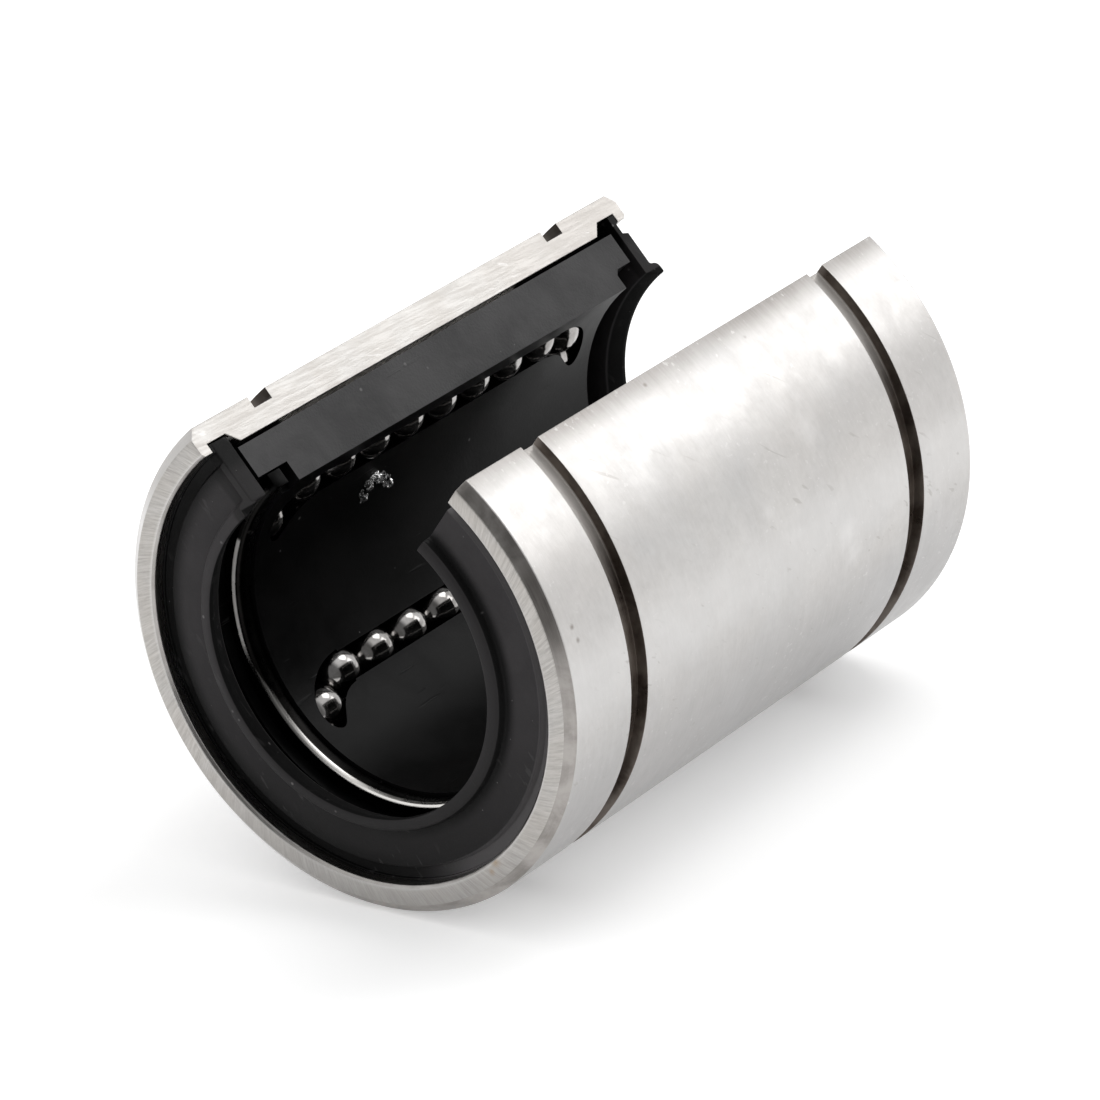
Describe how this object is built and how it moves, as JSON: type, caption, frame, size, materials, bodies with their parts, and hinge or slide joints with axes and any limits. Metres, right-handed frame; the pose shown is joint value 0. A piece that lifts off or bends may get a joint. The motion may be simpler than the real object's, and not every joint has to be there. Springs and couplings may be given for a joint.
{
  "type": "linear ball bearing",
  "caption": "Open linear ball bearing for a supported round shaft, with a steel sleeve, plastic cage, recirculating balls and rubber end seals.",
  "frame": {"origin": "centre of the shaft's bore, half way along the sleeve", "axes": "+Y along the bore from the front seal to the back, +Z out through the middle of the opening, +X to the right seen from the front"},
  "size_m": [0.032, 0.042, 0.0286],
  "materials": {
    "ground_steel": "ground bearing steel",
    "cage_plastic": "moulded, satin",
    "seal_rubber": "matt moulded rubber",
    "ring_steel": "bright spring steel",
    "ball_steel": "polished bearing steel"
  },
  "bodies": {
    "housing": {"sleeve": "ground_steel", "cage": "cage_plastic", "front_seal": "seal_rubber", "rear_seal": "seal_rubber", "front_holding_ring": "ring_steel"},
    "left_upper_load_row": {"left_upper_load_balls": "ball_steel"},
    "left_upper_return_row": {"left_upper_return_balls": "ball_steel"},
    "left_upper_turn_ball_1": {"left_upper_turn_ball_1": "ball_steel"},
    "left_upper_turn_ball_2": {"left_upper_turn_ball_2": "ball_steel"},
    "left_upper_turn_ball_3": {"left_upper_turn_ball_3": "ball_steel"},
    "left_upper_turn_ball_4": {"left_upper_turn_ball_4": "ball_steel"},
    "left_upper_turn_ball_5": {"left_upper_turn_ball_5": "ball_steel"},
    "left_upper_turn_ball_6": {"left_upper_turn_ball_6": "ball_steel"},
    "left_upper_turn_ball_7": {"left_upper_turn_ball_7": "ball_steel"},
    "left_upper_turn_ball_8": {"left_upper_turn_ball_8": "ball_steel"},
    "left_upper_turn_ball_9": {"left_upper_turn_ball_9": "ball_steel"},
    "left_lower_load_row": {"left_lower_load_balls": "ball_steel"},
    "left_lower_return_row": {"left_lower_return_balls": "ball_steel"},
    "left_lower_turn_ball_1": {"left_lower_turn_ball_1": "ball_steel"},
    "left_lower_turn_ball_2": {"left_lower_turn_ball_2": "ball_steel"},
    "left_lower_turn_ball_3": {"left_lower_turn_ball_3": "ball_steel"},
    "left_lower_turn_ball_4": {"left_lower_turn_ball_4": "ball_steel"},
    "left_lower_turn_ball_5": {"left_lower_turn_ball_5": "ball_steel"},
    "left_lower_turn_ball_6": {"left_lower_turn_ball_6": "ball_steel"},
    "left_lower_turn_ball_7": {"left_lower_turn_ball_7": "ball_steel"},
    "left_lower_turn_ball_8": {"left_lower_turn_ball_8": "ball_steel"},
    "left_lower_turn_ball_9": {"left_lower_turn_ball_9": "ball_steel"},
    "right_lower_load_row": {"right_lower_load_balls": "ball_steel"},
    "right_lower_return_row": {"right_lower_return_balls": "ball_steel"},
    "right_lower_turn_ball_1": {"right_lower_turn_ball_1": "ball_steel"},
    "right_lower_turn_ball_2": {"right_lower_turn_ball_2": "ball_steel"},
    "right_lower_turn_ball_3": {"right_lower_turn_ball_3": "ball_steel"},
    "right_lower_turn_ball_4": {"right_lower_turn_ball_4": "ball_steel"},
    "right_lower_turn_ball_5": {"right_lower_turn_ball_5": "ball_steel"},
    "right_lower_turn_ball_6": {"right_lower_turn_ball_6": "ball_steel"},
    "right_lower_turn_ball_7": {"right_lower_turn_ball_7": "ball_steel"},
    "right_lower_turn_ball_8": {"right_lower_turn_ball_8": "ball_steel"},
    "right_lower_turn_ball_9": {"right_lower_turn_ball_9": "ball_steel"},
    "right_upper_load_row": {"right_upper_load_balls": "ball_steel"},
    "right_upper_return_row": {"right_upper_return_balls": "ball_steel"},
    "right_upper_turn_ball_1": {"right_upper_turn_ball_1": "ball_steel"},
    "right_upper_turn_ball_2": {"right_upper_turn_ball_2": "ball_steel"},
    "right_upper_turn_ball_3": {"right_upper_turn_ball_3": "ball_steel"},
    "right_upper_turn_ball_4": {"right_upper_turn_ball_4": "ball_steel"},
    "right_upper_turn_ball_5": {"right_upper_turn_ball_5": "ball_steel"},
    "right_upper_turn_ball_6": {"right_upper_turn_ball_6": "ball_steel"},
    "right_upper_turn_ball_7": {"right_upper_turn_ball_7": "ball_steel"},
    "right_upper_turn_ball_8": {"right_upper_turn_ball_8": "ball_steel"},
    "right_upper_turn_ball_9": {"right_upper_turn_ball_9": "ball_steel"}
  },
  "joints": [
    {"name": "left_upper_load_row_travel", "type": "slide", "parent": "housing", "child": "left_upper_load_row", "axis": [0, 1, 0], "range_m": [-0.00166, 0.00166]},
    {"name": "left_upper_return_row_travel", "type": "slide", "parent": "housing", "child": "left_upper_return_row", "axis": [0, 1, 0], "range_m": [-0.00166, 0.00166]},
    {"name": "left_upper_turn_ball_1_travel", "type": "hinge", "parent": "housing", "child": "left_upper_turn_ball_1", "pos_m": [-0.03414, 0.01001, -0.02804], "axis": [-0.8151, 0, 0.5793], "range_deg": [-2.24, 2.24]},
    {"name": "left_upper_turn_ball_2_travel", "type": "hinge", "parent": "housing", "child": "left_upper_turn_ball_2", "pos_m": [-0.01136, 0.01185, 0.00402], "axis": [-0.8151, 0, 0.5793], "range_deg": [-28.88, 28.88]},
    {"name": "left_upper_turn_ball_3_travel", "type": "hinge", "parent": "housing", "child": "left_upper_turn_ball_3", "pos_m": [-0.00822, 0.0134, 0.00206], "axis": [-0.4079, -0.9034, 0.1322], "range_deg": [-23.14, 23.14]},
    {"name": "left_upper_turn_ball_4_travel", "type": "hinge", "parent": "housing", "child": "left_upper_turn_ball_4", "pos_m": [-0.01189, 0.01185, 0.00267], "axis": [-0.9918, 0, 0.1279], "range_deg": [-28.88, 28.88]},
    {"name": "left_upper_turn_ball_5_travel", "type": "hinge", "parent": "housing", "child": "left_upper_turn_ball_5", "pos_m": [-0.01069, 0.01055, 0.01197], "axis": [-0.9918, 0, 0.1279], "range_deg": [-7.48, 7.48]},
    {"name": "left_upper_turn_ball_6_travel", "type": "hinge", "parent": "housing", "child": "left_upper_turn_ball_6", "pos_m": [-0.0118, -0.01092, 0.00336], "axis": [-0.9918, 0, 0.1279], "range_deg": [-23.57, 23.57]},
    {"name": "left_upper_turn_ball_7_travel", "type": "hinge", "parent": "housing", "child": "left_upper_turn_ball_7", "pos_m": [-0.01172, -0.01114, 0.00273], "axis": [-0.9873, 0.0376, 0.1542], "range_deg": [-27.79, 27.79]},
    {"name": "left_upper_turn_ball_8_travel", "type": "hinge", "parent": "housing", "child": "left_upper_turn_ball_8", "pos_m": [-0.01072, -0.01078, 0.00329], "axis": [-0.8523, 0.2216, 0.4738], "range_deg": [-24.25, 24.25]},
    {"name": "left_upper_turn_ball_9_travel", "type": "hinge", "parent": "housing", "child": "left_upper_turn_ball_9", "pos_m": [-0.01142, -0.01117, 0.00393], "axis": [-0.8151, 0, 0.5793], "range_deg": [-27.75, 27.75]},
    {"name": "left_lower_load_row_travel", "type": "slide", "parent": "housing", "child": "left_lower_load_row", "axis": [0, 1, 0], "range_m": [-0.00166, 0.00166]},
    {"name": "left_lower_return_row_travel", "type": "slide", "parent": "housing", "child": "left_lower_return_row", "axis": [0, 1, 0], "range_m": [-0.00166, 0.00166]},
    {"name": "left_lower_turn_ball_1_travel", "type": "hinge", "parent": "housing", "child": "left_lower_turn_ball_1", "pos_m": [-0.00474, -0.01025, -0.01331], "axis": [-0.8141, 0, -0.5807], "range_deg": [-11.7, 11.7]},
    {"name": "left_lower_turn_ball_2_travel", "type": "hinge", "parent": "housing", "child": "left_lower_turn_ball_2", "pos_m": [-0.0067, 0.01132, -0.01057], "axis": [-0.8141, 0, -0.5807], "range_deg": [-19.95, 19.95]},
    {"name": "left_lower_turn_ball_3_travel", "type": "hinge", "parent": "housing", "child": "left_lower_turn_ball_3", "pos_m": [-0.0075, 0.01184, -0.00941], "axis": [-0.812, -0.0042, -0.5836], "range_deg": [-28.74, 28.74]},
    {"name": "left_lower_turn_ball_4_travel", "type": "hinge", "parent": "housing", "child": "left_lower_turn_ball_4", "pos_m": [-0.00575, 0.01133, -0.00858], "axis": [-0.54, -0.4211, -0.7287], "range_deg": [-22.16, 22.16]},
    {"name": "left_lower_turn_ball_5_travel", "type": "hinge", "parent": "housing", "child": "left_lower_turn_ball_5", "pos_m": [-0.00643, 0.01184, -0.01035], "axis": [-0.4454, 0, -0.8954], "range_deg": [-28.74, 28.74]},
    {"name": "left_lower_turn_ball_6_travel", "type": "hinge", "parent": "housing", "child": "left_lower_turn_ball_6", "pos_m": [-0.13316, -0.00911, 0.05269], "axis": [-0.4454, 0, -0.8954], "range_deg": [-0.66, 0.66]},
    {"name": "left_lower_turn_ball_7_travel", "type": "hinge", "parent": "housing", "child": "left_lower_turn_ball_7", "pos_m": [-0.00641, -0.01125, -0.01036], "axis": [-0.4454, 0, -0.8954], "range_deg": [-28.88, 28.88]},
    {"name": "left_lower_turn_ball_8_travel", "type": "hinge", "parent": "housing", "child": "left_lower_turn_ball_8", "pos_m": [-0.00467, -0.01208, -0.00725], "axis": [-0.3989, 0.8169, -0.4166], "range_deg": [-21.88, 21.88]},
    {"name": "left_lower_turn_ball_9_travel", "type": "hinge", "parent": "housing", "child": "left_lower_turn_ball_9", "pos_m": [-0.00752, -0.01125, -0.00942], "axis": [-0.8141, 0, -0.5807], "range_deg": [-28.88, 28.88]},
    {"name": "right_lower_load_row_travel", "type": "slide", "parent": "housing", "child": "right_lower_load_row", "axis": [0, 1, 0], "range_m": [-0.00166, 0.00166]},
    {"name": "right_lower_return_row_travel", "type": "slide", "parent": "housing", "child": "right_lower_return_row", "axis": [0, 1, 0], "range_m": [-0.00166, 0.00166]},
    {"name": "right_lower_turn_ball_1_travel", "type": "hinge", "parent": "housing", "child": "right_lower_turn_ball_1", "pos_m": [-0.03317, -0.00925, -0.06646], "axis": [-0.8141, 0, 0.5807], "range_deg": [-1.3, 1.3]},
    {"name": "right_lower_turn_ball_2_travel", "type": "hinge", "parent": "housing", "child": "right_lower_turn_ball_2", "pos_m": [0.00749, 0.01181, -0.00945], "axis": [-0.8141, 0, 0.5807], "range_deg": [-28.38, 28.38]},
    {"name": "right_lower_turn_ball_3_travel", "type": "hinge", "parent": "housing", "child": "right_lower_turn_ball_3", "pos_m": [0.00626, 0.01131, -0.0088], "axis": [-0.6862, 0.3155, 0.6554], "range_deg": [-23.1, 23.1]},
    {"name": "right_lower_turn_ball_4_travel", "type": "hinge", "parent": "housing", "child": "right_lower_turn_ball_4", "pos_m": [0.00642, 0.0118, -0.01028], "axis": [-0.4562, 0.0157, 0.8897], "range_deg": [-28.4, 28.4]},
    {"name": "right_lower_turn_ball_5_travel", "type": "hinge", "parent": "housing", "child": "right_lower_turn_ball_5", "pos_m": [0.00732, 0.01142, -0.00991], "axis": [-0.4454, 0, 0.8954], "range_deg": [-21.81, 21.81]},
    {"name": "right_lower_turn_ball_6_travel", "type": "hinge", "parent": "housing", "child": "right_lower_turn_ball_6", "pos_m": [0.01233, -0.01011, -0.00741], "axis": [-0.4454, 0, 0.8954], "range_deg": [-9.55, 9.55]},
    {"name": "right_lower_turn_ball_7_travel", "type": "hinge", "parent": "housing", "child": "right_lower_turn_ball_7", "pos_m": [0.00641, -0.01125, -0.01036], "axis": [-0.4454, 0, 0.8954], "range_deg": [-28.88, 28.88]},
    {"name": "right_lower_turn_ball_8_travel", "type": "hinge", "parent": "housing", "child": "right_lower_turn_ball_8", "pos_m": [0.00466, -0.01249, -0.00711], "axis": [-0.2934, -0.8702, 0.3959], "range_deg": [-22.52, 22.52]},
    {"name": "right_lower_turn_ball_9_travel", "type": "hinge", "parent": "housing", "child": "right_lower_turn_ball_9", "pos_m": [0.00752, -0.01125, -0.00942], "axis": [-0.8141, 0, 0.5807], "range_deg": [-28.88, 28.88]},
    {"name": "right_upper_load_row_travel", "type": "slide", "parent": "housing", "child": "right_upper_load_row", "axis": [0, 1, 0], "range_m": [-0.00166, 0.00166]},
    {"name": "right_upper_return_row_travel", "type": "slide", "parent": "housing", "child": "right_upper_return_row", "axis": [0, 1, 0], "range_m": [-0.00166, 0.00166]},
    {"name": "right_upper_turn_ball_1_travel", "type": "hinge", "parent": "housing", "child": "right_upper_turn_ball_1", "pos_m": [0.01693, 0.01054, -0.00381], "axis": [-0.8151, 0, -0.5793], "range_deg": [-7.35, 7.35]},
    {"name": "right_upper_turn_ball_2_travel", "type": "hinge", "parent": "housing", "child": "right_upper_turn_ball_2", "pos_m": [0.01136, 0.01185, 0.00402], "axis": [-0.8151, 0, -0.5793], "range_deg": [-28.88, 28.88]},
    {"name": "right_upper_turn_ball_3_travel", "type": "hinge", "parent": "housing", "child": "right_upper_turn_ball_3", "pos_m": [0.00825, 0.01341, 0.00198], "axis": [-0.3865, 0.905, -0.1778], "range_deg": [-23.17, 23.17]},
    {"name": "right_upper_turn_ball_4_travel", "type": "hinge", "parent": "housing", "child": "right_upper_turn_ball_4", "pos_m": [0.01189, 0.01185, 0.00267], "axis": [-0.9918, 0, -0.1279], "range_deg": [-28.88, 28.88]},
    {"name": "right_upper_turn_ball_5_travel", "type": "hinge", "parent": "housing", "child": "right_upper_turn_ball_5", "pos_m": [0.00703, 0.01002, 0.04031], "axis": [-0.9918, 0, -0.1279], "range_deg": [-2.31, 2.31]},
    {"name": "right_upper_turn_ball_6_travel", "type": "hinge", "parent": "housing", "child": "right_upper_turn_ball_6", "pos_m": [0.01187, -0.01117, 0.00279], "axis": [-0.9918, 0, -0.1279], "range_deg": [-27.7, 27.7]},
    {"name": "right_upper_turn_ball_7_travel", "type": "hinge", "parent": "housing", "child": "right_upper_turn_ball_7", "pos_m": [0.01095, -0.01079, 0.00278], "axis": [-0.9492, -0.2158, -0.2288], "range_deg": [-24.34, 24.34]},
    {"name": "right_upper_turn_ball_8_travel", "type": "hinge", "parent": "housing", "child": "right_upper_turn_ball_8", "pos_m": [0.01127, -0.01114, 0.00386], "axis": [-0.8303, -0.0396, -0.5559], "range_deg": [-27.74, 27.74]},
    {"name": "right_upper_turn_ball_9_travel", "type": "hinge", "parent": "housing", "child": "right_upper_turn_ball_9", "pos_m": [0.01175, -0.01092, 0.00348], "axis": [-0.8151, 0, -0.5793], "range_deg": [-23.68, 23.68]}
  ],
  "couplings": [
    {"joint": "left_upper_return_row_travel", "follows": "left_upper_load_row_travel", "ratio": -1},
    {"joint": "left_upper_turn_ball_1_travel", "follows": "left_upper_load_row_travel", "rad_per_m": 23.432},
    {"joint": "left_upper_turn_ball_2_travel", "follows": "left_upper_load_row_travel", "rad_per_m": 303.03},
    {"joint": "left_upper_turn_ball_3_travel", "follows": "left_upper_load_row_travel", "rad_per_m": 242.76},
    {"joint": "left_upper_turn_ball_4_travel", "follows": "left_upper_load_row_travel", "rad_per_m": 303.03},
    {"joint": "left_upper_turn_ball_5_travel", "follows": "left_upper_load_row_travel", "rad_per_m": 78.478},
    {"joint": "left_upper_turn_ball_6_travel", "follows": "left_upper_load_row_travel", "rad_per_m": 247.32},
    {"joint": "left_upper_turn_ball_7_travel", "follows": "left_upper_load_row_travel", "rad_per_m": 291.62},
    {"joint": "left_upper_turn_ball_8_travel", "follows": "left_upper_load_row_travel", "rad_per_m": 254.5},
    {"joint": "left_upper_turn_ball_9_travel", "follows": "left_upper_load_row_travel", "rad_per_m": 291.22},
    {"joint": "left_lower_return_row_travel", "follows": "left_lower_load_row_travel", "ratio": -1},
    {"joint": "left_lower_turn_ball_1_travel", "follows": "left_lower_load_row_travel", "rad_per_m": 122.71},
    {"joint": "left_lower_turn_ball_2_travel", "follows": "left_lower_load_row_travel", "rad_per_m": 209.31},
    {"joint": "left_lower_turn_ball_3_travel", "follows": "left_lower_load_row_travel", "rad_per_m": 301.61},
    {"joint": "left_lower_turn_ball_4_travel", "follows": "left_lower_load_row_travel", "rad_per_m": 232.57},
    {"joint": "left_lower_turn_ball_5_travel", "follows": "left_lower_load_row_travel", "rad_per_m": 301.54},
    {"joint": "left_lower_turn_ball_6_travel", "follows": "left_lower_load_row_travel", "rad_per_m": 6.9017},
    {"joint": "left_lower_turn_ball_7_travel", "follows": "left_lower_load_row_travel", "rad_per_m": 303.03},
    {"joint": "left_lower_turn_ball_8_travel", "follows": "left_lower_load_row_travel", "rad_per_m": 229.59},
    {"joint": "left_lower_turn_ball_9_travel", "follows": "left_lower_load_row_travel", "rad_per_m": 303.03},
    {"joint": "right_lower_return_row_travel", "follows": "right_lower_load_row_travel", "ratio": -1},
    {"joint": "right_lower_turn_ball_1_travel", "follows": "right_lower_load_row_travel", "rad_per_m": 13.624},
    {"joint": "right_lower_turn_ball_2_travel", "follows": "right_lower_load_row_travel", "rad_per_m": 297.81},
    {"joint": "right_lower_turn_ball_3_travel", "follows": "right_lower_load_row_travel", "rad_per_m": 242.41},
    {"joint": "right_lower_turn_ball_4_travel", "follows": "right_lower_load_row_travel", "rad_per_m": 297.97},
    {"joint": "right_lower_turn_ball_5_travel", "follows": "right_lower_load_row_travel", "rad_per_m": 228.8},
    {"joint": "right_lower_turn_ball_6_travel", "follows": "right_lower_load_row_travel", "rad_per_m": 100.22},
    {"joint": "right_lower_turn_ball_7_travel", "follows": "right_lower_load_row_travel", "rad_per_m": 303.03},
    {"joint": "right_lower_turn_ball_8_travel", "follows": "right_lower_load_row_travel", "rad_per_m": 236.28},
    {"joint": "right_lower_turn_ball_9_travel", "follows": "right_lower_load_row_travel", "rad_per_m": 303.03},
    {"joint": "right_upper_return_row_travel", "follows": "right_upper_load_row_travel", "ratio": -1},
    {"joint": "right_upper_turn_ball_1_travel", "follows": "right_upper_load_row_travel", "rad_per_m": 77.063},
    {"joint": "right_upper_turn_ball_2_travel", "follows": "right_upper_load_row_travel", "rad_per_m": 303.03},
    {"joint": "right_upper_turn_ball_3_travel", "follows": "right_upper_load_row_travel", "rad_per_m": 243.14},
    {"joint": "right_upper_turn_ball_4_travel", "follows": "right_upper_load_row_travel", "rad_per_m": 303.03},
    {"joint": "right_upper_turn_ball_5_travel", "follows": "right_upper_load_row_travel", "rad_per_m": 24.213},
    {"joint": "right_upper_turn_ball_6_travel", "follows": "right_upper_load_row_travel", "rad_per_m": 290.66},
    {"joint": "right_upper_turn_ball_7_travel", "follows": "right_upper_load_row_travel", "rad_per_m": 255.37},
    {"joint": "right_upper_turn_ball_8_travel", "follows": "right_upper_load_row_travel", "rad_per_m": 291.09},
    {"joint": "right_upper_turn_ball_9_travel", "follows": "right_upper_load_row_travel", "rad_per_m": 248.52}
  ]
}
